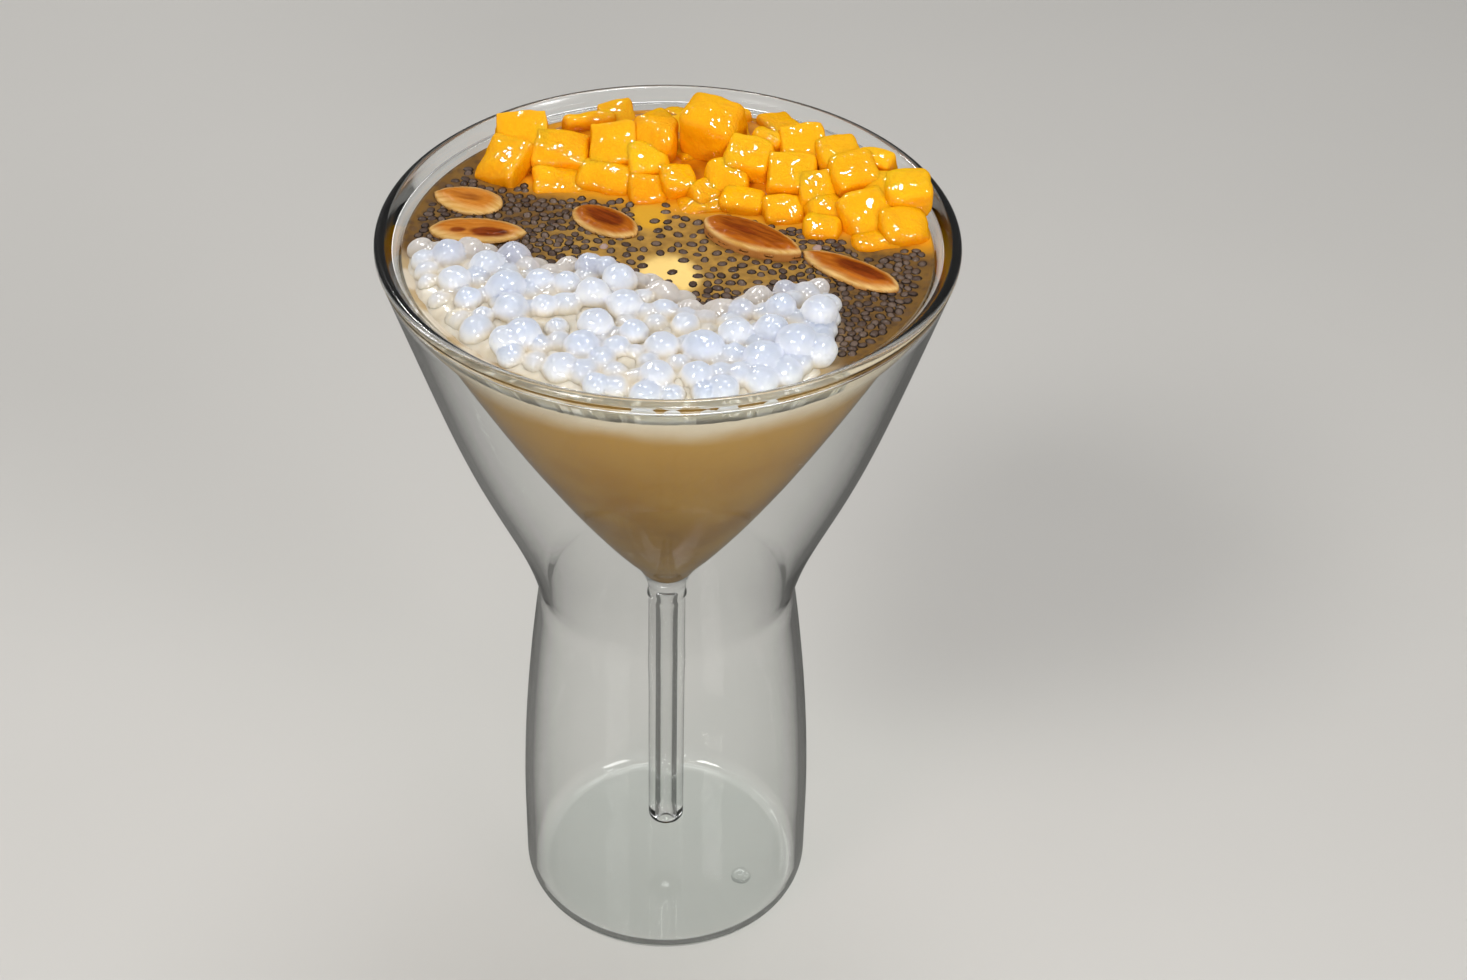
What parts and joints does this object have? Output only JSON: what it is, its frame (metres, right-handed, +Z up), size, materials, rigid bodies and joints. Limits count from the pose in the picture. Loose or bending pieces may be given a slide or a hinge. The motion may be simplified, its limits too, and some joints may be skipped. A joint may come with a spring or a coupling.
{
  "type": "mango sago dessert in a double-walled glass",
  "caption": "Mango sago in a flared double-walled glass: mango milk with chia seeds, topped with diced mango, sago pearls and toasted almond slices.",
  "frame": {"origin": "centre of the glass's flat underside, on the surface that it stands on", "axes": "+Z up along the glass's axis, -Y towards the sago pearls, +Y towards the diced mango"},
  "size_m": [0.11, 0.11, 0.177],
  "materials": {
    "clear_glass": "clear polished borosilicate glass",
    "mango_milk": "wet tan mango milk with chia seeds in its surface",
    "mango_flesh": "wet ripe mango flesh",
    "sago_pearl": "wet milky translucent starch pearls",
    "toasted_almond": "toasted almond, cream edge and browned middle"
  },
  "bodies": {
    "root": {"glass": "clear_glass", "vent_seal": "clear_glass", "drink": "mango_milk", "mango_heap": "mango_flesh", "sago_heap": "sago_pearl", "almond_1": "toasted_almond", "almond_2": "toasted_almond", "almond_3": "toasted_almond", "almond_4": "toasted_almond", "almond_5": "toasted_almond"}
  },
  "joints": []
}
